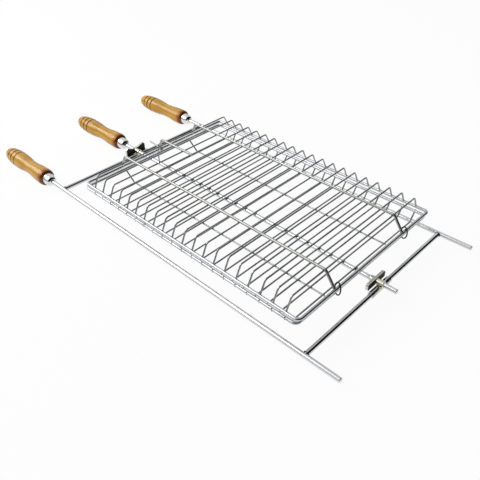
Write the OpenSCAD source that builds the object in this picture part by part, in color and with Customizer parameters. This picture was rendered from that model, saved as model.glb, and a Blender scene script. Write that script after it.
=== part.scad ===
// Rotating grill grate: a two-part wire basket that turns on a shaft inside a rod frame.
// Units are millimetres. +X runs from the wooden handles to the free rod ends, +Y runs to
// the far rail and +Z is up. The origin is under the middle of the overall box, level with
// the undersides of the two side handles.

/* [Support frame] */
// Distance between the side rails, centre to centre
rail_gap = 275; // [270:1:300]
// Diameter of the rails, the crossbars and the shaft
rod_d = 6; // [5:0.5:7]
// Distance between the two crossbars, centre to centre
crossbar_gap = 452; // [445:1:500]
// Length of each rail past the rear crossbar
rail_tail = 45; // [20:1:80]
// Bevel on each free rod end
rod_bevel = 0.6; // [0.3:0.1:1]
// Diameter of each saddle's sleeve, round its crossbar, and of its bush, round the shaft
saddle_d = 8.4; // [8.2:0.1:9]
// Length of each saddle sleeve
saddle_len = 37; // [24:1:50]

/* [Handles] */
// Distance from the front crossbar to the small ends of the ferrules
ferrule_setoff = 30; // [26:1:45]
// Length of each ferrule
ferrule_len = 15; // [12:1:20]
// Largest diameter of each ferrule
ferrule_d = 18; // [15:0.5:20]
// Length of each wooden grip
grip_len = 121; // [100:1:140]
// Largest diameter of each wooden grip
grip_d = 26.2; // [23:0.1:32]
// Depth of the three turned grooves near each grip's tip
groove_depth = 0.8; // [0.4:0.1:1.2]
// Depth of the blind bore that holds the rod in each grip
grip_bore_depth = 60; // [40:1:80]

/* [Shaft] */
// Gap between the shaft and the crossbars under it
shaft_gap = 0.4; // [0.3:0.1:0.8]
// Length of the shaft past the rear crossbar
shaft_tail = 22; // [15:1:40]
// Clearance between each index plate and its saddle's bush
index_gap = 0.4; // [0.4:0.1:4]
// Span of each index plate's two wings, tip to tip
index_span = 36; // [30:1:44]
// Height of the front index's wings at their tips
front_tip_h = 17; // [14:1:18]
// Height of the rear index's wings at their tips
rear_tip_h = 9; // [8:0.5:12]
// Thickness of each index plate
index_t = 4; // [3:0.1:4]
// Height of each index plate at its waist, round the shaft
index_waist_h = 9; // [8.5:0.5:11]
// Diameter of the rear index's hub
index_hub_d = 8.4; // [8:0.1:8.4]
// Length of the rear index's hub behind its plate
index_hub_len = 5; // [2:0.5:12]

/* [Basket] */
// Length of both basket frames, centre to centre of the end bars
basket_len = 378; // [376:1:380]
// Width of both basket frames, centre to centre of the side bars
basket_w = 257; // [250:1:257]
// Distance from the front crossbar to the lower frame's front bar
basket_setback = 54.2; // [50:0.1:58]
// Diameter of the frame wire
frame_wire_d = 4; // [3:0.5:4.5]
// Bend radius of the frame corners, on the centre line
frame_corner_r = 5.5; // [5:0.5:16]
// Height of the upper frame's wire above the lower frame's
frame_stack = 7.4; // [6.5:0.1:9]
// How far the upper frame sits back from the lower one
lid_shift = 2.8; // [0:0.1:3.5]
// Depth of the lower half, frame wire to mesh
lower_depth = 13.2; // [12:0.1:18]
// Height of the upper half, frame wire to mesh
upper_depth = 17.4; // [12:0.1:20]

/* [Mesh] */
// Number of cross wires in each half
cross_wire_count = 20; // [16:1:20]
// Diameter of the cross wires and the lower long wires
mesh_wire_d = 2.2; // [2:0.1:2.6]
// Distance from one cross wire to the next
cross_wire_pitch = 17.95; // [17:0.05:18]
// Distance from the front crossbar to the first cross wire
cross_wire_start = 77; // [76:0.5:80]
// How far the mesh is drawn in from the frame's side bars
side_slope = 8.7; // [6:0.1:12]
// Bend radius of the cross wires, on the centre line
mesh_bend_r = 4.5; // [3:0.5:5]
// Distance of the upper long wires from the centre line
upper_long_y = 67.4; // [67:0.1:75]
// Distance of the lower long wires from the centre line
lower_long_y = 62; // [50:0.5:75]
// Diameter of the upper long wires
long_wire_d = 3.6; // [3:0.1:4]
// How far an upper long wire runs past the last cross wire before it slopes down
long_wire_overrun = 2.4; // [2:0.1:4]
// Run of the slope at the front end of each upper long wire
front_slope = 10; // [6:0.5:14]
// How many cross wires the short middle wire passes over
middle_wire_reach = 4; // [3:1:6]

/* [Hinge and latch] */
// Outer diameter of the hinge rings
ring_d = 15.5; // [15.5:0.1:16.5]
// Diameter of the hinge rings' wire
ring_wire_d = 1.6; // [1.4:0.1:1.6]
// Turn of each hinge ring away from square to its bars
ring_turn = 35; // [0:1:35]
// Distance of each hinge ring from the upper long wire beside it, toward the far side
ring_setoff = 7.1; // [7.1:0.1:9]
// Diameter of the latch's wire
clip_wire_d = 2.4; // [2:0.1:2.8]
// Clearance between the latch's leg and the lower bar
loop_play = 0.35; // [0.3:0.05:0.5]
// Clearance between the latch's hook and the bar that it goes under
hook_play = 0.9; // [0.8:0.1:1.5]
// Distance of the latch from the centre line, on the far side
latch_y = 4.2; // [4:0.1:10]
// Reach of the latch's finger tab
latch_tab = 27; // [15:1:30]
// How far the latch stands swung out from its hooked place
latch_out = 35; // [33:1:45]

/* [Hidden] */

// facet counts of turned pieces, rods and thin wires
turned_fn = 48;
rod_fn = 32;
wire_fn = 16;
// gap left round a rod that is held or turns in a bore, and depth of a weld seat
bore_play = 0.02;
running_play = 0.06;
weld_seat = 0.02;
// how much a wire swells where it is bent, and how far its straight runs reach into a bend
bend_swell = 0.02;
bend_lap = 0.05;
// distance that a lower long wire runs on before the first cross wire
lower_lead = 5;
// how far the latch's tab rises at its middle, and how much thinner its legs are than its eye
tab_lift = 2;
latch_taper = 0.1;
// corner cut of an index wing, as a share of its height
wing_corner = 0.18;
// how far the hub reaches into its plate, and a saddle's bush past its sleeve
hub_lap = 1;
bush_lip = 0.3;
// places of the grooves along the grip, and half the width of one
grip_grooves = [0.68, 0.76, 0.84];
groove_half = 0.01;

rod_r = rod_d / 2;
frame_r = frame_wire_d / 2;
mesh_r = mesh_wire_d / 2;
long_r = long_wire_d / 2;
clip_r = clip_wire_d / 2;
grip_r = grip_d / 2;

// places along X
handle_len = ferrule_setoff + ferrule_len + grip_len;
overall_len = handle_len + crossbar_gap + rail_tail;
front_x = handle_len - overall_len / 2;
rear_x = front_x + crossbar_gap;
ferrule_x = front_x - ferrule_setoff;
grip_x = ferrule_x - ferrule_len;
rod_start_x = grip_x - grip_bore_depth;
rail_end_x = rear_x + rail_tail;
shaft_end_x = rear_x + shaft_tail;
bush_half = saddle_d / 2 + bush_lip;
index_setoff = bush_half + index_gap + index_t / 2;
lower_front_x = front_x + basket_setback;
lower_rear_x = lower_front_x + basket_len;
upper_front_x = lower_front_x + lid_shift;
upper_rear_x = lower_rear_x + lid_shift;
first_wire_x = front_x + cross_wire_start;
last_wire_x = first_wire_x + (cross_wire_count - 1) * cross_wire_pitch;
middle_wire_end_x = first_wire_x + (middle_wire_reach - 1) * cross_wire_pitch + mesh_wire_d;

// heights: the rails lie level with the handles' axes, the lower mesh lies on the shaft
rail_y = rail_gap / 2;
rail_z = grip_r;
shaft_z = rail_z + rod_d + shaft_gap;
lower_mesh_z = shaft_z + rod_r + mesh_r - weld_seat;
lower_frame_z = lower_mesh_z + lower_depth;
upper_frame_z = lower_frame_z + frame_stack;
upper_mesh_z = upper_frame_z + upper_depth;
lower_long_z = lower_mesh_z - mesh_wire_d + weld_seat;
upper_long_z = upper_mesh_z + mesh_r + long_r - weld_seat;

// the grip's outline from the ferrule to the tip: place along the length and share of grip_r
grip_outline = [
    [0, 0.72], [0.015, 0.9], [0.05, 0.975], [0.12, 0.98], [0.2, 0.95], [0.28, 0.88], [0.37, 0.83],
    [0.44, 0.84], [0.52, 0.92], [0.6, 0.985], [0.69, 1], [0.77, 0.975], [0.84, 0.91], [0.9, 0.81],
    [0.945, 0.68], [0.975, 0.5], [0.993, 0.28], [1, 0]
];
// the ferrule's outline from its small end to the grip, as shares of length and radius
ferrule_outline = [[0, 0.42], [0.05, 0.6], [0.17, 0.78], [0.42, 0.92], [0.72, 0.99], [0.95, 1], [1, 0.97]];

function along(a, b, t) = a + (b - a) * t / norm(b - a);
function heading(v) = atan2(v[1], v[0]);
// the turn from one heading to the next, between -180 and 180 degrees
function turn_at(a, b, c) =
    let (t = heading(c - b) - heading(b - a))
    t > 180 ? t - 360 : t < -180 ? t + 360 : t;

// a straight round bar from a, along X or along Y
module bar_x(a, length, r, fn = rod_fn) {
    translate(a) rotate([0, 90, 0]) cylinder(h = length, r = r, $fn = fn);
}

module bar_y(a, length, r, fn = rod_fn) {
    translate(a) rotate([-90, 0, 0]) cylinder(h = length, r = r, $fn = fn);
}

// one bend of a wire in the XY plane: it arrives at b from a, and leaves for c
module wire_bend(a, b, c, r, bend_r, fn) {
    turn = turn_at(a, b, c);
    side = turn > 0 ? 1 : -1;
    tangent = along(b, a, bend_r * tan(abs(turn) / 2));
    from = heading(b - a);
    centre = tangent + bend_r * side * [-sin(from), cos(from)];
    start = turn > 0 ? from - 90 : from + 90 + turn;
    translate(centre) rotate([0, 0, start])
        rotate_extrude(angle = abs(turn), $fn = max(wire_fn, fn))
        translate([bend_r, 0]) circle(r = r + bend_swell, $fn = fn);
}

// a wire bent in the XY plane through a list of points, open or closed
module bent_wire(points, r, bend_r, closed = false, fn = wire_fn) {
    n = len(points);
    function cut(i) =
        !closed && (i == 0 || i == n - 1) ? 0
        : bend_r * tan(abs(turn_at(points[(i + n - 1) % n], points[i], points[(i + 1) % n])) / 2);
    function lap(i) = cut(i) > 0 ? bend_lap : 0;
    first_bend = closed ? 0 : 1;
    last = closed ? n - 1 : n - 2;
    union() {
        for (i = [0 : last]) {
            a = points[i];
            b = points[(i + 1) % n];
            start = cut(i) - lap(i);
            run = norm(b - a) - start - cut((i + 1) % n) + lap((i + 1) % n);
            translate(along(a, b, start)) rotate([0, 90, heading(b - a)])
                cylinder(h = run, r = r, $fn = fn);
        }
        for (i = [first_bend : last])
            wire_bend(points[(i + n - 1) % n], points[i], points[(i + 1) % n], r, bend_r, fn);
    }
}

// stand the XY plane upright: points become [X, Z] at a given Y, or [Y, Z] at a given X
module at_y(y) {
    translate([0, y, 0]) rotate([90, 0, 0]) children();
}

module at_x(x) {
    translate([x, 0, 0]) rotate([90, 0, 90]) children();
}

// a rod along X from inside its grip to a bevelled free end
module long_rod(y, z, end_x) {
    translate([rod_start_x, y, z]) rotate([0, 90, 0]) rotate_extrude($fn = rod_fn)
        polygon([
            [0, 0], [rod_r, 0], [rod_r, end_x - rod_start_x - rod_bevel],
            [rod_r - rod_bevel, end_x - rod_start_x], [0, end_x - rod_start_x]
        ]);
}

module rail(side) {
    color("silver") long_rod(side * rail_y, rail_z, rail_end_x);
}

// a crossbar coped at both ends to seat on the rails
module crossbar(x) {
    color("gray") difference() {
        bar_y([x, rod_r / 2 - rail_y, rail_z], rail_gap - rod_r, rod_r);
        for (side = [-1, 1])
            bar_x([x - rod_d, side * rail_y, rail_z], 2 * rod_d, rod_r);
    }
}

// a sleeve round the middle of a crossbar, with the bush that the shaft turns in on top of it
module saddle(x) {
    color("silver") difference() {
        union() {
            bar_y([x, -saddle_len / 2, rail_z], saddle_len, saddle_d / 2);
            bar_x([x - bush_half, 0, shaft_z], 2 * bush_half, saddle_d / 2);
        }
        bar_y([x, -saddle_len, rail_z], 2 * saddle_len, rod_r + bore_play);
        bar_x([x - rod_d, 0, shaft_z], 2 * rod_d, rod_r + running_play);
    }
}

// a turned metal cone between a rod and its grip
module ferrule(y, z) {
    color("lightgray") translate([ferrule_x, y, z]) rotate([0, -90, 0])
        rotate_extrude($fn = turned_fn)
        polygon(concat(
            [[rod_r + bore_play, 0]],
            [for (p = ferrule_outline) [p[1] * ferrule_d / 2, p[0] * ferrule_len]],
            [[rod_r + bore_play, ferrule_len]]
        ));
}

// a point on the grip's side at a share of its length, sunk by a given depth
function grip_side(share, sunk = 0) = [lookup(share, grip_outline) * grip_r - sunk, share * grip_len];

// a turned wooden grip with three ring grooves and a blind bore for its rod
module grip(y, z) {
    first = grip_grooves[0];
    last = grip_grooves[len(grip_grooves) - 1];
    color("goldenrod") translate([grip_x, y, z]) rotate([0, -90, 0])
        rotate_extrude($fn = turned_fn)
        polygon(concat(
            [[rod_r + bore_play, 0]],
            [for (p = grip_outline) if (p[0] < first) grip_side(p[0])],
            [
                for (g = grip_grooves)
                    each [grip_side(g - groove_half), grip_side(g, groove_depth), grip_side(g + groove_half)]
            ],
            [for (p = grip_outline) if (p[0] > last) grip_side(p[0])],
            [[0, grip_bore_depth + bore_play], [rod_r + bore_play, grip_bore_depth + bore_play]]
        ));
}

module shaft() {
    color("silver") long_rod(0, shaft_z, shaft_end_x);
}

// two flared wings, and a hub if it has one, fixed on the shaft on the handle side of a crossbar
module index_piece(crossbar_x, tip_h, hub_len) {
    waist = index_waist_h / 2;
    tip = tip_h / 2;
    corner = wing_corner * tip_h;
    half = index_span / 2;
    color("dimgray") translate([crossbar_x - index_setoff, 0, shaft_z]) difference() {
        union() {
            rotate([90, 0, 90]) translate([0, 0, -index_t / 2]) linear_extrude(index_t)
                polygon([
                    [corner - half, -tip], [-half, corner - tip], [-half, tip - corner], [corner - half, tip],
                    [-waist, waist], [waist, waist],
                    [half - corner, tip], [half, tip - corner], [half, corner - tip], [half - corner, -tip],
                    [waist, -waist], [-waist, -waist]
                ]);
            if (hub_len > 0)
                bar_x([-index_t / 2 - hub_len, 0, 0], hub_len + hub_lap, index_hub_d / 2);
        }
        bar_x([-hub_len - index_t, 0, 0], hub_len + 2 * index_t, rod_r + bore_play);
    }
}

// a closed rectangle of frame wire with bent corners
module basket_frame(x0, z) {
    half_w = basket_w / 2;
    translate([x0, 0, z])
        bent_wire(
            [[0, -half_w], [basket_len, -half_w], [basket_len, half_w], [0, half_w]],
            frame_r, frame_corner_r, closed = true, fn = rod_fn
        );
}

// the cross wires of one half, each welded to both side bars and bent to the mesh level
module cross_wires(frame_z, mesh_z) {
    edge = [basket_w / 2, frame_z];
    bend = [basket_w / 2 - side_slope, mesh_z];
    foot = along(edge, bend, frame_r - weld_seat);
    for (i = [0 : cross_wire_count - 1])
        at_x(first_wire_x + i * cross_wire_pitch)
            bent_wire([[-foot[0], foot[1]], [-bend[0], bend[1]], bend, foot], mesh_r, mesh_bend_r);
}

module lower_frame() {
    color("darkgray") basket_frame(lower_front_x, lower_frame_z);
}

module upper_frame() {
    color("darkgray") basket_frame(upper_front_x, upper_frame_z);
}

module lower_cross_wires() {
    color("gray") cross_wires(lower_frame_z, lower_mesh_z);
}

module upper_cross_wires() {
    color("gray") cross_wires(upper_frame_z, upper_mesh_z);
}

// an upper long wire over the mesh, sloping down to the frame's front and rear bars
module upper_long_wire(side) {
    front_bar = [upper_front_x, upper_frame_z];
    rear_bar = [upper_rear_x, upper_frame_z];
    front_bend = [upper_front_x + front_slope, upper_long_z];
    rear_bend = [last_wire_x + long_wire_overrun, upper_long_z];
    color("silver") at_y(side * upper_long_y)
        bent_wire(
            [
                along(front_bar, front_bend, frame_r - weld_seat), front_bend,
                rear_bend, along(rear_bar, rear_bend, frame_r - weld_seat)
            ],
            long_r, mesh_bend_r, fn = rod_fn
        );
}

// the short wire in the middle, from the front bar over the first few cross wires
module upper_middle_wire() {
    front_bar = [upper_front_x, upper_frame_z];
    bend = [upper_front_x + front_slope, upper_long_z];
    color("silver") at_y(0)
        bent_wire(
            [along(front_bar, bend, frame_r - weld_seat), bend, [middle_wire_end_x, upper_long_z]],
            long_r, mesh_bend_r, fn = rod_fn
        );
}

// a thin lower long wire under the mesh, from the front bar to the last cross wire
module lower_long_wire(side) {
    front_bar = [lower_front_x, lower_frame_z];
    bend = [first_wire_x - lower_lead, lower_long_z];
    color("gray") at_y(side * lower_long_y)
        bent_wire(
            [along(front_bar, bend, frame_r - weld_seat), bend, [last_wire_x + mesh_r, lower_long_z]],
            mesh_r, mesh_bend_r
        );
}

// the upright wire that carries the lower front bar on the shaft
module front_strut() {
    foot_z = shaft_z + rod_r - weld_seat;
    color("gray") translate([lower_front_x, 0, foot_z])
        cylinder(h = lower_frame_z - frame_r + weld_seat - foot_z, r = mesh_r, $fn = rod_fn);
}

// a loose round ring of wire that holds both rear bars together; it bears on the lower one
module hinge_ring(side) {
    ring_r = (ring_d - ring_wire_d) / 2;
    tilt = atan2(lid_shift, frame_stack);
    half_gap = norm([lid_shift, frame_stack]) / 2;
    play = ring_r - ring_wire_d / 2 - half_gap - frame_r;
    color("dimgray")
        translate([(lower_rear_x + upper_rear_x) / 2, side * upper_long_y + ring_setoff, (lower_frame_z + upper_frame_z) / 2])
        rotate([0, tilt, 0]) translate([0, 0, play + weld_seat])
        rotate([0, 0, -ring_turn]) rotate([90, 0, 0])
        rotate_extrude($fn = rod_fn) translate([ring_r, 0]) circle(r = ring_wire_d / 2, $fn = wire_fn);
}

// a wire latch in its hooked place: an eye round the upper front bar, a leg and hook that go
// under the lower one, and a finger tab
module hooked_latch() {
    leg_r = clip_r - latch_taper;
    eye_r = frame_r + running_play + clip_r;
    hook_drop = norm([lid_shift, frame_stack]) + frame_r + clip_r + hook_play;
    leg_x = -lid_shift - frame_r - clip_r - loop_play;
    union() {
        rotate_extrude($fn = rod_fn) translate([eye_r, 0]) circle(r = clip_r, $fn = wire_fn);
        bent_wire(
            [
                [-eye_r, 0], [leg_x, -frame_stack / 2],
                [leg_x, -hook_drop], [frame_r - lid_shift, -hook_drop]
            ],
            leg_r, clip_wire_d
        );
        rotate([0, 0, latch_out])
            bent_wire([[-eye_r, 0], [-latch_tab / 2, tab_lift], [-latch_tab, 1.5 * tab_lift]], leg_r, clip_wire_d);
    }
}

// the latch as it stands in use, swung out clear of the lower front bar
module latch() {
    color("silver") at_y(latch_y)
        translate([upper_front_x, upper_frame_z]) rotate([0, 0, -latch_out]) hooked_latch();
}

rail(-1);  // near_rail
rail(1);  // far_rail
crossbar(front_x);  // front_crossbar
crossbar(rear_x);  // rear_crossbar
saddle(front_x);  // front_saddle
saddle(rear_x);  // rear_saddle
ferrule(-rail_y, rail_z);  // near_ferrule
ferrule(rail_y, rail_z);  // far_ferrule
grip(-rail_y, rail_z);  // near_grip
grip(rail_y, rail_z);  // far_grip
shaft();
ferrule(0, shaft_z);  // shaft_ferrule
grip(0, shaft_z);  // shaft_grip
index_piece(front_x, front_tip_h, 0);  // front_index
index_piece(rear_x, rear_tip_h, index_hub_len);  // rear_index
lower_frame();
lower_cross_wires();
lower_long_wire(-1);  // lower_near_long_wire
lower_long_wire(1);  // lower_far_long_wire
front_strut();
hinge_ring(-1);  // near_hinge_ring
hinge_ring(1);  // far_hinge_ring
upper_frame();
upper_cross_wires();
upper_long_wire(-1);  // upper_near_long_wire
upper_long_wire(1);  // upper_far_long_wire
upper_middle_wire();
latch();
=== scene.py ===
# Rotating grill grate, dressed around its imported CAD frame. Lengths are written in millimetres
# and turned to metres where a mesh is made.
import math
import random

import bmesh
import bpy
from mathutils import Matrix, Vector


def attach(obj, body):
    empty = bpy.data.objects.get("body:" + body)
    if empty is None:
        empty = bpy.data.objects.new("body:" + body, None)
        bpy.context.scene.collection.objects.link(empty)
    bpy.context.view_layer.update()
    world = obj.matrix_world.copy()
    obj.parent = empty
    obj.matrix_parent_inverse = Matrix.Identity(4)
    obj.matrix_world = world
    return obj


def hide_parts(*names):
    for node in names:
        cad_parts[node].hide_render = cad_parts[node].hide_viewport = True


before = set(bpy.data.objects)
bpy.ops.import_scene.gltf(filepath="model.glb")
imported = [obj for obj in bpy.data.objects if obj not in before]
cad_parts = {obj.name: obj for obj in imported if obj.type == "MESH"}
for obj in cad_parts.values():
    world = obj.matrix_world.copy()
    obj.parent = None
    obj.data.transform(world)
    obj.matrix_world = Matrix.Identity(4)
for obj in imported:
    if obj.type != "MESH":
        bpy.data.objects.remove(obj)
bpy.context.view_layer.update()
random.seed(11)


# Rails and shaft: three drawn steel rods, nickel plated and polished, each driven into its
# wooden grip at one end and bevelled at the free one. The plating mirrors the room softly,
# with faint lines along the rod from drawing.
MM = 0.001
CREASE = math.radians(38)
LEAD = 0.2
ROD_R = 3.0
ROD_BEVEL = 0.6
RAIL_Y = 137.5
RAIL_Z = 13.1
SHAFT_Z = 19.5
FRONT_X = -165.5
REAR_X = 286.5
ROD_START_X = -271.5
RAIL_END_X = 331.5
SHAFT_END_X = 308.5
ROD_STEPS = 40


def linear(code):
    """An sRGB hex colour as the linear RGBA that a shader socket takes."""
    out = []
    for i in (1, 3, 5):
        v = int(code[i:i + 2], 16) / 255
        out.append(v / 12.92 if v <= 0.04045 else ((v + 0.055) / 1.055) ** 2.4)
    return (*out, 1.0)


def node(tree, kind, settings=None, **links):
    """Adds a node. STOPS fills its colour ramp from (position, hex) pairs, any other setting in
    capitals is an attribute, and the rest are sockets by name or number. A link i6 is socket 6."""
    made = tree.nodes.new(kind)
    for key, value in (settings or {}).items():
        if key == "STOPS":
            bar = made.color_ramp.elements
            while len(bar) < len(value):
                bar.new(0.5)
            for element, (at, code) in zip(bar, value):
                element.position = at
                element.color = linear(code)
        elif str(key).isupper():
            setattr(made, key.lower(), value)
        else:
            made.inputs[key].default_value = value
    for key, source in links.items():
        numbered = key[0] == "i" and key[1:].isdigit()
        tree.links.new(source, made.inputs[int(key[1:]) if numbered else key])
    return made


def new_material(name, settings):
    """A material with its shader's settings, and its node tree, shader and Object coordinates."""
    mat = bpy.data.materials.new(name)
    mat.use_nodes = True
    tree = mat.node_tree
    shader = tree.nodes["Principled BSDF"]
    for key, value in settings.items():
        shader.inputs[key].default_value = value
    place = node(tree, "ShaderNodeTexCoord").outputs["Object"]
    return mat, tree, shader, place


def dent(tree, shader, place, scale, depth):
    """Shallow dents, which make a metal's mirror image uneven. Real ones are finer: these are
    drawn as coarse as they need to be to show from afar and not to sparkle."""
    dents = node(tree, "ShaderNodeTexNoise", {"Scale": scale, "Detail": 1.0}, Vector=place)
    relief = node(tree, "ShaderNodeBump", {"Strength": 0.2, "Distance": depth * MM},
                  Height=dents.outputs["Fac"])
    tree.links.new(relief.outputs["Normal"], shader.inputs["Normal"])


def metal(name, dark, light, rough, streak, bump=0.05, tarnish=None):
    """Plated or drawn steel: two tones mixed by fine streaks, a little uneven polish, and for
    some a darker tarnish in patches."""
    mat, tree, shader, place = new_material(name, {"Metallic": 1.0})
    lines = node(tree, "ShaderNodeMapping", {"Scale": streak}, Vector=place)
    fine = node(tree, "ShaderNodeTexNoise", {"Scale": 1.0, "Detail": 3.0, "Roughness": 0.6},
                Vector=lines.outputs["Vector"])
    tone = node(tree, "ShaderNodeValToRGB", {"STOPS": [(0.3, dark), (0.7, light)]},
                Fac=fine.outputs["Fac"]).outputs["Color"]
    cloud = node(tree, "ShaderNodeTexNoise", {"Scale": 55.0, "Detail": 4.0, "Roughness": 0.65},
                 Vector=place)
    if tarnish:
        patch = node(tree, "ShaderNodeMapRange", {"From Min": 0.56, "From Max": 0.72, "To Max": 0.7},
                     Value=cloud.outputs["Fac"])
        tone = node(tree, "ShaderNodeMix", {"DATA_TYPE": "RGBA", 7: linear(tarnish)},
                    Factor=patch.outputs["Result"], i6=tone).outputs[2]
    tree.links.new(tone, shader.inputs["Base Color"])
    polish = node(tree, "ShaderNodeMapRange",
                  {"From Min": 0.3, "From Max": 0.7, "To Min": rough * 0.7, "To Max": rough * 1.4},
                  Value=cloud.outputs["Fac"])
    tree.links.new(polish.outputs["Result"], shader.inputs["Roughness"])
    dent(tree, shader, place, 160.0, bump)
    return mat


def finish_piece(bm, name, mats, body, slot, *cad_nodes):
    """Turns a bmesh in millimetres into a smooth piece that rides on its body for its CAD nodes."""
    bmesh.ops.remove_doubles(bm, verts=bm.verts, dist=0.0005)
    bmesh.ops.recalc_face_normals(bm, faces=bm.faces)
    bmesh.ops.scale(bm, vec=(MM, MM, MM), verts=bm.verts)
    mesh = bpy.data.meshes.new(name)
    bm.to_mesh(mesh)
    bm.free()
    mesh.shade_smooth()
    mesh.set_sharp_from_angle(angle=CREASE)
    for mat in mats:
        mesh.materials.append(mat)
    piece = bpy.data.objects.new(name, mesh)
    bpy.context.scene.collection.objects.link(piece)
    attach(piece, body)
    if cad_nodes:
        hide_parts(*cad_nodes)
    return piece


def turned(bm, outline, y, z, steps=ROD_STEPS):
    """Spins an outline of (x, radius) points about an axis along X at the given height."""
    verts = [bm.verts.new((x, y, z + r)) for x, r in outline]
    edges = [bm.edges.new(pair) for pair in zip(verts, verts[1:])]
    made = bmesh.ops.spin(bm, geom=verts + edges, cent=(0, y, z), axis=(1, 0, 0), dvec=(0, 0, 0),
                          angle=math.tau, steps=steps, use_merge=True, use_duplicate=False)
    return made["geom_last"]


bright_rod = metal("nickel_plated_drawn_steel", "#C4C6C9", "#DEDFE1", 0.17, (8, 300, 300))

for name, y, z, end_x in (("near_rail", -RAIL_Y, RAIL_Z, RAIL_END_X),
                          ("far_rail", RAIL_Y, RAIL_Z, RAIL_END_X),
                          ("shaft", 0, SHAFT_Z, SHAFT_END_X)):
    # The ring just before the bevel keeps the shading of the long rod straight
    bm = bmesh.new()
    bevel_x = end_x - ROD_BEVEL
    turned(bm, [(ROD_START_X, 0), (ROD_START_X, ROD_R), (bevel_x - LEAD, ROD_R), (bevel_x, ROD_R),
                (end_x - ROD_BEVEL / 3, ROD_R - 0.25), (end_x, ROD_R - ROD_BEVEL), (end_x, 0)], y, z)
    finish_piece(bm, "rod_of_" + name, [bright_rod],
                 "lower_basket" if name == "shaft" else "support", "plated_rod", name)


# Crossbars and saddles: two zinc plated rods welded between the rails, each with a turned steel
# sleeve round its middle that carries a bush for the shaft. They mirror in greyer tones than
# the rails. The bush is yellowed, and the welds are burnt dark.
CROSSBAR_HALF = 136.3
WELD_STEPS = 1
WELD_BEADS = 10
WELD_RING_R = 3.1
WELD_SETBACK = 2.7
BUSH_EDGE = 5.6
BUSH_BODY = 4.4


def weld_bead(bm, place, size):
    """A small squashed lump of weld metal, a few dozen faces, turned at random about Z."""
    spot = Matrix.Translation(place) @ Matrix.Rotation(random.uniform(0, math.tau), 4, "Z")
    scale = Matrix.Diagonal((*[s * random.uniform(0.85, 1.15) for s in size], 1))
    bmesh.ops.create_icosphere(bm, subdivisions=WELD_STEPS, radius=1.0, matrix=spot @ scale)


def mottled(name, settings, noise, stops, dents):
    """Burnt, cast or annealed iron: a few tones mixed by a fine noise, and dents."""
    mat, tree, shader, place = new_material(name, settings)
    spots = node(tree, "ShaderNodeTexNoise", noise, Vector=place)
    tone = node(tree, "ShaderNodeValToRGB", {"STOPS": stops}, Fac=spots.outputs["Fac"])
    tree.links.new(tone.outputs["Color"], shader.inputs["Base Color"])
    dent(tree, shader, place, *dents)
    return mat


dull_rod = metal("zinc_plated_steel", "#B4B6B8", "#D6D7D8", 0.14, (300, 8, 300))

# The sleeve's steel is tarnished brown in patches, and turns to the bush's cream in the middle
saddle_steel = metal("turned_steel_sleeve", "#A5A6A6", "#D6D5D2", 0.24, (300, 60, 60),
                     tarnish="#6A635B")
tree = saddle_steel.node_tree
shader = tree.nodes["Principled BSDF"]
place = node(tree, "ShaderNodeTexCoord").outputs["Object"]
along = node(tree, "ShaderNodeSeparateXYZ", Vector=place)
middle = node(tree, "ShaderNodeMath", {"OPERATION": "ABSOLUTE"}, i0=along.outputs["Y"])
yellowed = node(tree, "ShaderNodeMapRange",
                {"From Min": BUSH_EDGE * MM, "From Max": BUSH_BODY * MM, "To Max": 0.8},
                Value=middle.outputs[0])
tone = node(tree, "ShaderNodeMix", {"DATA_TYPE": "RGBA", 7: linear("#DAD4BE")},
            Factor=yellowed.outputs["Result"], i6=shader.inputs["Base Color"].links[0].from_socket)
tree.links.new(tone.outputs[2], shader.inputs["Base Color"])

for name, x in (("front_crossbar", FRONT_X), ("rear_crossbar", REAR_X)):
    bm = bmesh.new()
    turned(bm, [(-CROSSBAR_HALF, 0), (-CROSSBAR_HALF, ROD_R), (CROSSBAR_HALF, ROD_R),
                (CROSSBAR_HALF, 0)], 0, 0)
    bmesh.ops.rotate(bm, cent=(0, 0, 0), matrix=Matrix.Rotation(math.pi / 2, 3, "Z"), verts=bm.verts)
    bmesh.ops.translate(bm, vec=(x, 0, RAIL_Z), verts=bm.verts)
    finish_piece(bm, "rod_of_" + name, [dull_rod], "support", "plated_rod", name)

for name in ("front_saddle", "rear_saddle"):
    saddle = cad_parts[name]
    saddle.data.materials.clear()
    saddle.data.materials.append(saddle_steel)

# A weld's steel is burnt from near black to brown, with no plating left to mirror anything
burnt_weld = mottled("burnt_mild_steel_weld", {"Metallic": 0.85, "Roughness": 0.48},
                     {"Scale": 900.0, "Detail": 3.0},
                     [(0.3, "#2B2624"), (0.55, "#57493F"), (0.75, "#7C7670")], (400.0, 0.3))

bm = bmesh.new()
for x in (FRONT_X, REAR_X):
    for side in (-1, 1):
        for step in range(WELD_BEADS):
            turn = math.tau * step / WELD_BEADS
            inset = WELD_SETBACK + 0.5 * abs(math.cos(turn))
            weld_bead(bm, Vector((x + WELD_RING_R * math.cos(turn), side * (RAIL_Y - inset),
                                  RAIL_Z + WELD_RING_R * math.sin(turn))), (0.9, 0.7, 0.9))
finish_piece(bm, "crossbar_welds", [burnt_weld], "support", "plated_rod")


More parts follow.
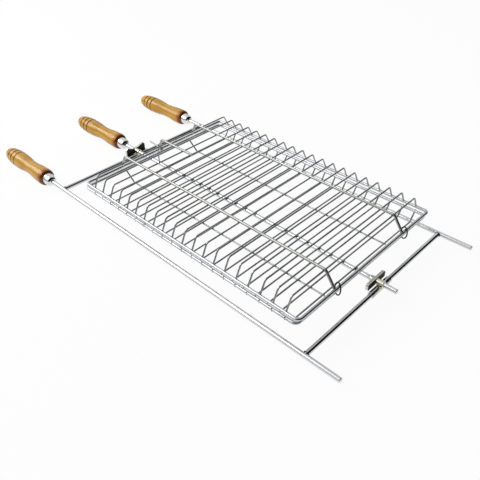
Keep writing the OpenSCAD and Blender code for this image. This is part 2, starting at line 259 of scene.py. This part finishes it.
# Grips: three alike, turned from a light hardwood and clear varnished, each driven on a rod.
# The grain runs along the grip, three grooves and the end beside the ferrule are burnt brown
# on the lathe, and the glossy varnish shows sharp highlights over honey yellow wood.
GRIP_X = -210.5
GRIP_LEN = 121.0
GRIP_R = 13.1
BORE_R = 3.02
BORE_DEPTH = 60.0
TURNED_STEPS = 72
GRIP_RINGS = 110
END_RINGS = {0.006, 0.018, 0.985, 0.996, 0.999}
HANDLES = (("near", -RAIL_Y, RAIL_Z, "support"), ("far", RAIL_Y, RAIL_Z, "support"),
           ("shaft", 0, SHAFT_Z, "lower_basket"))
GROOVES = (0.68, 0.76, 0.84)
GROOVE_HALF = 0.01
GROOVE_DEPTH = 0.8
GRIP_OUTLINE = ((0, 0.72), (0.015, 0.9), (0.05, 0.975), (0.12, 0.98), (0.2, 0.95), (0.28, 0.88),
                (0.37, 0.83), (0.44, 0.84), (0.52, 0.92), (0.6, 0.985), (0.69, 1), (0.77, 0.975),
                (0.84, 0.91), (0.9, 0.81), (0.945, 0.68), (0.975, 0.5), (0.993, 0.28), (1, 0))


def eased(outline, share):
    """The radius share at a place along an outline, on a curve through its points."""
    last = len(outline) - 1
    i = max(k for k in range(last) if outline[k][0] <= share)
    a, b = outline[i], outline[i + 1]
    before, after = outline[max(i - 1, 0)], outline[min(i + 2, last)]
    t = (share - a[0]) / (b[0] - a[0])
    run = b[0] - a[0]
    slope_a = (b[1] - before[1]) / (b[0] - before[0])
    slope_b = (after[1] - a[1]) / (after[0] - a[0])
    return ((2 * t**3 - 3 * t**2 + 1) * a[1] + (t**3 - 2 * t**2 + t) * run * slope_a
            + (3 * t**2 - 2 * t**3) * b[1] + (t**3 - t**2) * run * slope_b)


def groove_sink(share):
    """How deep the burnt grooves are at a place along the grip, in millimetres."""
    near = min(abs(share - g) for g in GROOVES) / GROOVE_HALF
    return GROOVE_DEPTH * (0.5 + 0.5 * math.cos(math.pi * near)) if near < 1 else 0.0


# The wood's own surface hardly reflects, because the varnish over it does. The pores are far
# finer than a pixel, so they are drawn as wide as the grain
varnished, tree, shader, place = new_material("clear_varnished_turned_wood", {
    "Roughness": 0.42, "Specular IOR Level": 0.0, "Coat Weight": 0.9, "Coat Roughness": 0.13,
    "Coat IOR": 1.5})
grain_run = node(tree, "ShaderNodeMapping", {"Scale": (14, 330, 330)}, Vector=place)
grain = node(tree, "ShaderNodeTexNoise",
             {"Scale": 1.0, "Detail": 3.0, "Roughness": 0.55, "Distortion": 0.3},
             Vector=grain_run.outputs["Vector"])
figure_run = node(tree, "ShaderNodeMapping", {"Scale": (9, 70, 70), "Rotation": (0.3, 0.1, 0.05)},
                  Vector=place)
figure = node(tree, "ShaderNodeTexWave",
              {"WAVE_TYPE": "RINGS", "Scale": 0.9, "Distortion": 5.0, "Detail": 3.0, "Detail Scale": 1.2},
              Vector=figure_run.outputs["Vector"])
faint = node(tree, "ShaderNodeMath", {"OPERATION": "MULTIPLY", 1: 0.2}, i0=figure.outputs["Fac"])
both = node(tree, "ShaderNodeMath", {"OPERATION": "ADD"}, i0=faint.outputs[0], i1=grain.outputs["Fac"])
honey = node(tree, "ShaderNodeValToRGB",
             {"STOPS": [(0.32, "#BC8120"), (0.5, "#CD9427"), (0.66, "#D6A135"), (0.84, "#E0B049")]},
             Fac=both.outputs[0])
along = node(tree, "ShaderNodeSeparateXYZ", Vector=place)
share = node(tree, "ShaderNodeMapRange",
             {"From Min": GRIP_X * MM, "From Max": (GRIP_X - GRIP_LEN) * MM}, Value=along.outputs["X"])
wobble = node(tree, "ShaderNodeMath", {"OPERATION": "MULTIPLY_ADD", 1: 0.006},
              i0=grain.outputs["Fac"], i2=share.outputs["Result"])
burn_stops = [(0.0, "#A07048"), (0.024, "#B28250"), (0.045, "#E0B070"), (0.09, "#FFFFFF")]
for g in GROOVES:
    burn_stops += [(g - 0.009, "#FFFFFF"), (g - 0.004, "#9C6248"),
                   (g + 0.01, "#9C6248"), (g + 0.015, "#FFFFFF")]
burn = node(tree, "ShaderNodeValToRGB", {"STOPS": burn_stops}, Fac=wobble.outputs[0])
wood = node(tree, "ShaderNodeMix", {"DATA_TYPE": "RGBA", "BLEND_TYPE": "MULTIPLY", "Factor": 1.0},
            i6=honey.outputs["Color"], i7=burn.outputs["Color"])
tree.links.new(wood.outputs[2], shader.inputs["Base Color"])
pores = node(tree, "ShaderNodeBump", {"Strength": 0.1, "Distance": 0.1 * MM}, Height=grain.outputs["Fac"])
tree.links.new(pores.outputs["Normal"], shader.inputs["Normal"])

grip_shares = sorted({i / GRIP_RINGS for i in range(GRIP_RINGS + 1)} | END_RINGS
                     | {g + GROOVE_HALF * k / 3 for g in GROOVES for k in range(-3, 4)})
for name, y, z, body in HANDLES:
    bm = bmesh.new()
    outline = [(GRIP_X, BORE_R)]
    outline += [(GRIP_X - GRIP_LEN * s, max(0.0, eased(GRIP_OUTLINE, s) * GRIP_R - groove_sink(s)))
                for s in grip_shares]
    outline += [(GRIP_X - BORE_DEPTH, 0), (GRIP_X - BORE_DEPTH, BORE_R), (GRIP_X, BORE_R)]
    turned(bm, outline, y, z, TURNED_STEPS)
    finish_piece(bm, f"turned_{name}_grip", [varnished], body, "varnished_wood", name + "_grip")


# Ferrules: thin domed caps of drawn steel, chrome plated, that are pushed over the joint of
# rod and grip. They are the shiniest pieces, with one crisp bright band and dark sides.
FERRULE_X = -195.5
FERRULE_LEN = 15.0
FERRULE_R = 9.0
FERRULE_OUTLINE = ((0, 0.42), (0.05, 0.6), (0.17, 0.78), (0.42, 0.92), (0.72, 0.99), (0.95, 1),
                   (1, 0.97))
FERRULE_RINGS = 24

polished_cap = metal("chrome_plated_drawn_cap", "#C9CBCD", "#E6E8E9", 0.07, (200, 60, 60), bump=0.01)

for name, y, z, body in HANDLES:
    bm = bmesh.new()
    outline = [(FERRULE_X, BORE_R)]
    outline += [(FERRULE_X - FERRULE_LEN * k / FERRULE_RINGS,
                 eased(FERRULE_OUTLINE, k / FERRULE_RINGS) * FERRULE_R) for k in range(FERRULE_RINGS + 1)]
    outline += [(GRIP_X, BORE_R), (FERRULE_X, BORE_R)]
    turned(bm, outline, y, z, TURNED_STEPS)
    finish_piece(bm, f"cap_of_{name}_ferrule", [polished_cap], body, "bright_ferrule", name + "_ferrule")


# Index pieces: two bow-tie plates cast in iron and fixed on the shaft beside each crossbar, the
# rear one lower and with a hub. Their faces are near black as painted shade, and the rims and
# the hub are pale grey as painted light.
INDEX_SETOFF = 6.9
INDEX_HALF = 18.0
INDEX_WAIST = 4.5
INDEX_T = 4.0
INDEX_CORNER = 0.36
INDEX_BEVEL = 0.6
FRONT_TIP = 8.5
REAR_TIP = 4.5
HUB_R = 4.2
HUB_LEN = 5.0
HUB_LAP = 1.0

# Cast iron faces in painted shade: near black and rough, hardly brighter in the light than in the shade
iron_face_painted_shade = mottled("blackened_cast_iron", {"Metallic": 0.6, "Roughness": 0.5},
                    {"Scale": 700.0, "Detail": 5.0, "Roughness": 0.7},
                    [(0.3, "#161514"), (0.6, "#2B2926"), (0.8, "#46423D")], (300.0, 0.25))

# The same iron with painted light on its rims and hub, drawn pale grey as a lit edge
iron_rim_painted_light = mottled("rubbed_cast_iron_rim", {"Metallic": 0.85, "Roughness": 0.32},
                   {"Scale": 420.0, "Detail": 5.0, "Roughness": 0.7},
                   [(0.28, "#B4B2AC"), (0.5, "#DAD8D2"), (0.75, "#F0EEE8")], (300.0, 0.15))

for name, crossbar_x, tip, hub in (("front_index", FRONT_X, FRONT_TIP, 0.0),
                                   ("rear_index", REAR_X, REAR_TIP, HUB_LEN)):
    bm = bmesh.new()
    plate_x = crossbar_x - INDEX_SETOFF
    back = plate_x - INDEX_T / 2
    cut = INDEX_CORNER * tip
    corners = []
    for sy, sz in ((-1, -1), (-1, 1), (1, 1), (1, -1)):
        corners += [(sy * INDEX_HALF, sz * (tip - cut)), (sy * INDEX_WAIST, sz * INDEX_WAIST),
                    (sy * (INDEX_HALF - cut), sz * tip)]
    corners.sort(key=lambda corner: math.atan2(corner[1], corner[0]))
    face = bm.faces.new([bm.verts.new((back, y, SHAFT_Z + z)) for y, z in corners])
    grown = bmesh.ops.extrude_face_region(bm, geom=[face])["geom"]
    bmesh.ops.translate(bm, vec=(INDEX_T, 0, 0),
                        verts=[v for v in grown if isinstance(v, bmesh.types.BMVert)])
    bmesh.ops.recalc_face_normals(bm, faces=bm.faces)
    bmesh.ops.bevel(bm, geom=bm.edges[:], offset=INDEX_BEVEL, segments=3, profile=0.5, affect="EDGES",
                    material=-1, clamp_overlap=True)
    # Faces that look along the shaft take the painted shade, all other faces the painted light
    for f in bm.faces:
        f.material_index = 0 if abs(f.normal.x) > 0.9 else 1
    plate = set(bm.faces)
    if hub:
        turned(bm, [(back - hub, BORE_R), (back - hub, HUB_R - 1), (back - hub + 0.4, HUB_R - 0.3),
                    (back - hub + 1, HUB_R), (back + HUB_LAP, HUB_R), (back + HUB_LAP, BORE_R),
                    (back - hub, BORE_R)], 0, SHAFT_Z, 48)
    # The hub takes the painted light as well
    for f in bm.faces:
        if f not in plate:
            f.material_index = 1
    finish_piece(bm, "cast_" + name, [iron_face_painted_shade, iron_rim_painted_light], "lower_basket", "dark_iron", name)


# Lower half of the basket: a closed frame of 4 mm zinc plated wire, with twenty thinner ones
# bent to a shallow tray and resistance welded to it and to the shaft. Two thin wires run
# along under the tray, and a short strut joins the front bar to the shaft.
FRAME_R = 2.0
FRAME_HALF = 128.5
FRAME_LEN = 378.0
CORNER_R = 5.5
MESH_R = 1.1
MESH_BEND = 4.5
BEND_Y = 119.8
FIRST_WIRE_X = -88.5
WIRE_PITCH = 17.95
WIRE_COUNT = 20
LOWER_FRONT_X = -111.3
LOWER_FRAME_Z = 36.78
LOWER_MESH_Z = 23.58
UPPER_FRAME_Z = 44.18
LOWER_LONG_Y = 62.0
LOWER_LONG_Z = 21.4
LOWER_LEAD = 5.0
WIRE_SIDES = 14
WELD_SINK = 0.1
LAST_WIRE_X = FIRST_WIRE_X + (WIRE_COUNT - 1) * WIRE_PITCH
wire_places = [FIRST_WIRE_X + k * WIRE_PITCH for k in range(WIRE_COUNT)]


def ring_edges(made):
    """The edges of the newest ring in what an extrude or spin returned."""
    fresh = {v for v in made if isinstance(v, bmesh.types.BMVert)}
    return [e for e in made if isinstance(e, bmesh.types.BMEdge) and fresh.issuperset(e.verts)]


def bent_wire(bm, points, radius, bend, closed=False, sides=WIRE_SIDES):
    """Pushes a round section along straight runs and spins it round each bend, as wire is bent.
    A ring close to each end of a run keeps the shading of the run straight."""
    points = [Vector(p) for p in points]
    if closed:
        points = [(points[0] + points[1]) / 2, *points[1:], points[0], (points[0] + points[1]) / 2]
    ways = [(b - a).normalized() for a, b in zip(points, points[1:])]
    turn = Matrix.Translation(points[0]) @ ways[0].to_track_quat("Z", "Y").to_matrix().to_4x4()
    ring = bmesh.ops.create_circle(bm, cap_ends=not closed, segments=sides, radius=radius,
                                   matrix=turn)["verts"]
    edges = ring_edges(ring + list({e for v in ring for e in v.link_edges}))
    at = points[0]
    for i, way in enumerate(ways):
        bends = i + 1 < len(ways)
        angle = way.angle(ways[i + 1]) if bends else 0.0
        stop = points[i + 1] - way * (bend * math.tan(angle / 2))
        run, lead = stop - at, way * LEAD
        for part in (lead, run - 2 * lead, lead) if run.length > 3 * LEAD else (run,):
            grown = bmesh.ops.extrude_edge_only(bm, edges=edges)["geom"]
            bmesh.ops.translate(bm, vec=part, verts=[v for v in grown if isinstance(v, bmesh.types.BMVert)])
            edges = ring_edges(grown)
        if bends:
            axis = way.cross(ways[i + 1]).normalized()
            spun = bmesh.ops.spin(bm, geom=edges + list({v for e in edges for v in e.verts}),
                                  cent=stop + axis.cross(way) * bend, axis=axis, dvec=(0, 0, 0),
                                  angle=angle, steps=max(4, round(math.degrees(angle) / 9)),
                                  use_merge=False, use_duplicate=False)
            edges = ring_edges(spun["geom_last"])
            at = points[i + 1] + ways[i + 1] * (bend * math.tan(angle / 2))
    if not closed:
        bmesh.ops.holes_fill(bm, edges=edges, sides=0)


def toward(a, b, distance):
    """The point at a distance from a toward b."""
    a, b = Vector(a), Vector(b)
    return a + (b - a).normalized() * distance


def tray_wires(bm, frame_z, mesh_z):
    """The cross wires of one half, each from side bar to side bar."""
    for x in wire_places:
        feet = [toward((x, s * FRAME_HALF, frame_z), (x, s * BEND_Y, mesh_z), FRAME_R - WELD_SINK)
                for s in (-1, 1)]
        bent_wire(bm, [feet[0], (x, -BEND_Y, mesh_z), (x, BEND_Y, mesh_z), feet[1]], MESH_R, MESH_BEND)


def frame_loop(bm, front_x, z):
    """The closed frame of one half."""
    rear_x = front_x + FRAME_LEN
    bent_wire(bm, [(front_x, -FRAME_HALF, z), (rear_x, -FRAME_HALF, z), (rear_x, FRAME_HALF, z),
                   (front_x, FRAME_HALF, z)], FRAME_R, CORNER_R, closed=True, sides=24)


def side_welds(bm, frame_z, mesh_z):
    """A weld spot where each cross wire meets the side bars. Those of the lower half also show
    outside."""
    for x in wire_places:
        for side in (-1, 1):
            spot = toward((x, side * FRAME_HALF, frame_z), (x, side * BEND_Y, mesh_z), FRAME_R + WELD_SINK)
            weld_bead(bm, spot, (1.5, 0.8, 1.1))
            if frame_z < UPPER_FRAME_Z:
                weld_bead(bm, Vector((x, side * (FRAME_HALF + 1.2), frame_z + 1.6)), (0.9, 0.7, 0.7))
                weld_bead(bm, Vector((x, side * (FRAME_HALF + 1.1), frame_z - 1.7)), (1.0, 0.8, 0.6))


# Thin zinc plated wire that has been over a fire: grey, with brown patches and a soft sheen
mesh_wire = metal("zinc_plated_mesh_wire", "#8B8D8F", "#B7B9BA", 0.24, (200, 14, 200),
                  tarnish="#605A52")

# The frame's wire is paler and less tarnished, so the frame stands out from the thin wires
frame_wire = metal("zinc_plated_frame_wire", "#B4B6B9", "#D2D4D6", 0.27, (60, 60, 200),
                   tarnish="#8E8981")

bm = bmesh.new()
frame_loop(bm, LOWER_FRONT_X, LOWER_FRAME_Z)
finish_piece(bm, "lower_frame_wire", [frame_wire], "lower_basket", "plated_wire", "lower_frame")

bm = bmesh.new()
tray_wires(bm, LOWER_FRAME_Z, LOWER_MESH_Z)
finish_piece(bm, "lower_tray_wires", [mesh_wire], "lower_basket", "plated_wire", "lower_cross_wires")

for name, y in (("lower_near_long_wire", -LOWER_LONG_Y), ("lower_far_long_wire", LOWER_LONG_Y)):
    bm = bmesh.new()
    front_bend = (FIRST_WIRE_X - LOWER_LEAD, y, LOWER_LONG_Z)
    bent_wire(bm, [toward((LOWER_FRONT_X, y, LOWER_FRAME_Z), front_bend, FRAME_R - WELD_SINK),
                   front_bend, (LAST_WIRE_X + MESH_R, y, LOWER_LONG_Z)], MESH_R, MESH_BEND)
    finish_piece(bm, "thin_" + name, [mesh_wire], "lower_basket", "plated_wire", name)

bm = bmesh.new()
bent_wire(bm, [(LOWER_FRONT_X, 0, SHAFT_Z + ROD_R - WELD_SINK),
               (LOWER_FRONT_X, 0, LOWER_FRAME_Z - FRAME_R + WELD_SINK)], MESH_R, MESH_BEND)
finish_piece(bm, "upright_front_strut", [mesh_wire], "lower_basket", "plated_wire", "front_strut")

bm = bmesh.new()
side_welds(bm, LOWER_FRAME_Z, LOWER_MESH_Z)
for x in wire_places:
    for side in (-1, 1):
        # The dark spots on the shaft are partly real weld and partly painted contact shadow where the cross
        # wires lie on it
        weld_bead(bm, Vector((x, side * 1.9, SHAFT_Z + 2.75)), (1.5, 1.1, 0.7))
        weld_bead(bm, Vector((x, side * LOWER_LONG_Y, LOWER_MESH_Z - MESH_R)), (1.2, 1.3, 0.5))
for side in (-1, 1):
    weld_bead(bm, toward((LOWER_FRONT_X, side * LOWER_LONG_Y, LOWER_FRAME_Z),
                         (FIRST_WIRE_X - LOWER_LEAD, side * LOWER_LONG_Y, LOWER_LONG_Z), FRAME_R),
              (1.2, 1.6, 1.2))
weld_bead(bm, Vector((LOWER_FRONT_X, 0, SHAFT_Z + ROD_R)), (1.9, 1.7, 0.6))
weld_bead(bm, Vector((LOWER_FRONT_X, 0, LOWER_FRAME_Z - FRAME_R)), (1.5, 1.9, 0.6))
finish_piece(bm, "lower_weld_spots", [burnt_weld], "lower_basket", "dark_iron")


# Hinge rings: two round rings of black annealed wire, bent shut loosely round both rear bars,
# which let the lid swing up. They stand turned away from square to the bars, and show as
# short dull black lines.
LID_SHIFT = 2.8
UPPER_FRONT_X = LOWER_FRONT_X + LID_SHIFT
LONG_Y = 67.4
RING_SETOFF = 7.1
RING_R = 6.95
RING_WIRE_R = 0.8
RING_TURN = 35.0
RING_RISE = 0.214

black_wire = mottled("black_annealed_wire", {"Metallic": 0.5, "Roughness": 0.42},
                     {"Scale": 1400.0, "Detail": 4.0},
                     [(0.3, "#0E0D0D"), (0.65, "#1F1D1B"), (0.85, "#3A3530")], (400.0, 0.1))

lean = math.atan2(LID_SHIFT, UPPER_FRAME_Z - LOWER_FRAME_Z)
for name, y in (("near_hinge_ring", -LONG_Y), ("far_hinge_ring", LONG_Y)):
    bm = bmesh.new()
    bent_wire(bm, [(-RING_R, 0, -RING_R), (RING_R, 0, -RING_R), (RING_R, 0, RING_R), (-RING_R, 0, RING_R)],
              RING_WIRE_R, RING_R - 0.01, closed=True, sides=16)
    middle = Vector((LOWER_FRONT_X + FRAME_LEN + LID_SHIFT / 2, y + RING_SETOFF,
                     (LOWER_FRAME_Z + UPPER_FRAME_Z) / 2))
    bmesh.ops.transform(bm, verts=bm.verts,
                        matrix=Matrix.Translation(middle) @ Matrix.Rotation(lean, 4, "Y")
                        @ Matrix.Translation((0, 0, RING_RISE))
                        @ Matrix.Rotation(-math.radians(RING_TURN), 4, "Z"))
    finish_piece(bm, "looped_" + name, [black_wire], "lower_basket", "dark_iron", name)


# Upper half of the basket: the same frame turned over, with twenty zinc plated wires bent to
# a deeper cage and welded. Two stout wires run over the cage from the front bar to the rear
# one, and a short one in the middle ends on the fourth cross wire.
UPPER_MESH_Z = 61.58
LONG_R = 1.8
LONG_Z = 64.46
FRONT_SLOPE = 10.0
OVERRUN = 2.4
MIDDLE_WIRES = wire_places[:4]
MIDDLE_END_X = MIDDLE_WIRES[-1] + 2 * MESH_R

# Drawn wire with its lines along it, a greenish grey that is duller than the frame
stout_wire = metal("bright_zinc_plated_long_wire", "#989A95", "#B4B6B1", 0.32, (10, 300, 300))

bm = bmesh.new()
frame_loop(bm, UPPER_FRONT_X, UPPER_FRAME_Z)
finish_piece(bm, "upper_frame_wire", [frame_wire], "upper_basket", "plated_wire", "upper_frame")

bm = bmesh.new()
tray_wires(bm, UPPER_FRAME_Z, UPPER_MESH_Z)
finish_piece(bm, "upper_cage_wires", [mesh_wire], "upper_basket", "plated_wire", "upper_cross_wires")

welds = bmesh.new()
side_welds(welds, UPPER_FRAME_Z, UPPER_MESH_Z)
for name, y in (("upper_near_long_wire", -LONG_Y), ("upper_far_long_wire", LONG_Y),
                ("upper_middle_wire", 0)):
    bm = bmesh.new()
    front_bar = (UPPER_FRONT_X, y, UPPER_FRAME_Z)
    front_bend = (UPPER_FRONT_X + FRONT_SLOPE, y, LONG_Z)
    points = [toward(front_bar, front_bend, FRAME_R - WELD_SINK), front_bend]
    weld_bead(welds, toward(front_bar, front_bend, FRAME_R + 0.2), (1.9, 2.1, 1.3))
    if y:
        rear_bar = (UPPER_FRONT_X + FRAME_LEN, y, UPPER_FRAME_Z)
        rear_bend = (LAST_WIRE_X + OVERRUN, y, LONG_Z)
        points += [rear_bend, toward(rear_bar, rear_bend, FRAME_R - WELD_SINK)]
        weld_bead(welds, toward(rear_bar, rear_bend, FRAME_R + 0.2), (1.7, 1.6, 1.3))
    else:
        points.append((MIDDLE_END_X, y, LONG_Z))
    bent_wire(bm, points, LONG_R, MESH_BEND, sides=20)
    finish_piece(bm, "stout_" + name, [stout_wire], "upper_basket", "plated_wire", name)
    for x in wire_places if y else MIDDLE_WIRES:
        weld_bead(welds, Vector((x, y, UPPER_MESH_Z + MESH_R)), (1.3, 1.7, 0.6))
finish_piece(welds, "upper_weld_spots", [burnt_weld], "upper_basket", "dark_iron")


# Latch: one piece of zinc plated spring wire with an eye that turns on the upper front bar, a
# hook that goes under the lower bar to shut the basket, and a tab for the finger. It has the
# same dull plated grey as the stout wires.
LATCH_Y = 4.2
CLIP_R = 1.2
LOOP_PLAY = 0.35
LATCH_OUT = 35.0
LATCH_TAB = 27.0
TAB_LIFT = 2.0
LEG_R = 1.1
HOOK_PLAY = 0.9
RUNNING_PLAY = 0.06

eye_r = FRAME_R + RUNNING_PLAY + CLIP_R
hook_drop = math.hypot(LID_SHIFT, UPPER_FRAME_Z - LOWER_FRAME_Z) + FRAME_R + CLIP_R + HOOK_PLAY
leg_x = -LID_SHIFT - FRAME_R - CLIP_R - LOOP_PLAY
half_stack = (UPPER_FRAME_Z - LOWER_FRAME_Z) / 2
bm = bmesh.new()
bent_wire(bm, [(-eye_r, 0, -eye_r), (eye_r, 0, -eye_r), (eye_r, 0, eye_r), (-eye_r, 0, eye_r)],
          CLIP_R, eye_r - 0.01, closed=True, sides=16)
bent_wire(bm, [(-eye_r, 0, 0), (leg_x, 0, -half_stack), (leg_x, 0, -hook_drop),
               (FRAME_R - LID_SHIFT, 0, -hook_drop)], LEG_R, 2 * CLIP_R)
bmesh.ops.rotate(bm, cent=(0, 0, 0), verts=bm.verts,
                 matrix=Matrix.Rotation(math.radians(LATCH_OUT), 3, "Y"))
bent_wire(bm, [(-eye_r, 0, 0), (-LATCH_TAB / 2, 0, TAB_LIFT), (-LATCH_TAB, 0, 1.5 * TAB_LIFT)],
          LEG_R, 2 * CLIP_R)
bmesh.ops.translate(bm, vec=(UPPER_FRONT_X, LATCH_Y, UPPER_FRAME_Z), verts=bm.verts)
finish_piece(bm, "spring_wire_latch", [stout_wire], "latch_body", "plated_wire", "latch")


# Floor, light and camera: a plain pale sweep under one large soft box, one smaller lamp for
# the highlights on the varnish, and the camera at the photograph's angle. The metals mirror
# a room that is white toward the handles and dark behind the rear end.
floor_mat = bpy.data.materials.new("pale_floor")
floor_mat.use_nodes = True
tree = floor_mat.node_tree
tree.nodes.clear()
rays = node(tree, "ShaderNodeLightPath")
seen = node(tree, "ShaderNodeMath", {"OPERATION": "MAXIMUM"}, i0=rays.outputs["Is Camera Ray"],
            i1=rays.outputs["Is Glossy Ray"])
seen = node(tree, "ShaderNodeMath", {"OPERATION": "MAXIMUM"}, i0=seen.outputs[0],
            i1=rays.outputs["Is Transmission Ray"])
share = node(tree, "ShaderNodeMath", {"OPERATION": "MULTIPLY", 1: 0.9}, i0=seen.outputs[0])
paper = node(tree, "ShaderNodeBsdfDiffuse", {"Color": (0.8, 0.8, 0.8, 1)})
glow = node(tree, "ShaderNodeEmission", {"Color": (1, 1, 1, 1), "Strength": 1.03})
mixed = node(tree, "ShaderNodeMixShader", None, Fac=share.outputs[0], i1=paper.outputs[0],
             i2=glow.outputs[0])
node(tree, "ShaderNodeOutputMaterial", None, Surface=mixed.outputs[0])

bm = bmesh.new()
bmesh.ops.create_grid(bm, x_segments=2, y_segments=2, size=4.0,
                      matrix=Matrix.Translation((0, 0, -0.0006)))
floor_mesh = bpy.data.meshes.new("floor")
bm.to_mesh(floor_mesh)
bm.free()
floor_mesh.materials.append(floor_mat)
floor = bpy.data.objects.new("floor", floor_mesh)
bpy.context.scene.collection.objects.link(floor)

world = bpy.data.worlds.new("studio")
world.use_nodes = True
bpy.context.scene.world = world
tree = world.node_tree
tree.nodes.clear()
rays = node(tree, "ShaderNodeLightPath")
way = node(tree, "ShaderNodeTexCoord")
height = node(tree, "ShaderNodeSeparateXYZ", Vector=way.outputs["Generated"])
side = node(tree, "ShaderNodeVectorMath", {"OPERATION": "DOT_PRODUCT", 1: (1.0, 0.0, 0.0)},
            i0=way.outputs["Generated"])
spread = node(tree, "ShaderNodeMapRange", {"From Min": -1.0, "From Max": 1.0}, Value=side.outputs["Value"])
walls = node(tree, "ShaderNodeValToRGB",
             {"STOPS": [(0.0, "#FFFFFF"), (0.45, "#F2F2F2"), (0.54, "#6E6E6F"), (0.62, "#0E0E0F")]},
             Fac=spread.outputs["Result"])
level = node(tree, "ShaderNodeValToRGB",
             {"STOPS": [(0.0, "#2A2A2B"), (0.1, "#4A4A4B"), (0.2, "#FFFFFF")]}, Fac=height.outputs["Z"])
room = node(tree, "ShaderNodeMix", {"DATA_TYPE": "RGBA", "BLEND_TYPE": "MULTIPLY", "Factor": 1.0},
            i6=walls.outputs["Color"], i7=level.outputs["Color"])
room_light = node(tree, "ShaderNodeBackground", {"Strength": 0.9}, Color=room.outputs[2])
white = node(tree, "ShaderNodeBackground", {"Color": (1, 1, 1, 1), "Strength": 1.0})
mixed = node(tree, "ShaderNodeMixShader", None, Fac=rays.outputs["Is Camera Ray"], i1=room_light.outputs[0],
             i2=white.outputs[0])
node(tree, "ShaderNodeOutputWorld", None, Surface=mixed.outputs[0])

for name, place_m, aim, size, power in (("soft_box", (-1.0, -0.9, 1.4), (0, 0, 0), 1.3, 14.0),
                                        ("highlight_lamp", (-1.6, -0.55, 0.9), (-0.2, 0, 0), 0.8, 6.0)):
    lamp = bpy.data.lights.new(name, "AREA")
    lamp.size = size
    lamp.energy = power
    holder = bpy.data.objects.new(name, lamp)
    holder.location = place_m
    holder.rotation_euler = (Vector(aim) - Vector(place_m)).to_track_quat("-Z", "Y").to_euler()
    bpy.context.scene.collection.objects.link(holder)

eye = bpy.data.cameras.new("camera")
eye.sensor_width = 36.0
eye.lens = 40.87
camera = bpy.data.objects.new("camera", eye)
camera.location = (0.4951, -0.4355, 0.4495)
camera.rotation_euler = [math.radians(a) for a in (51.496, 1.009, 44.118)]
bpy.context.scene.collection.objects.link(camera)
bpy.context.scene.camera = camera
bpy.context.scene.view_settings.view_transform = "Standard"
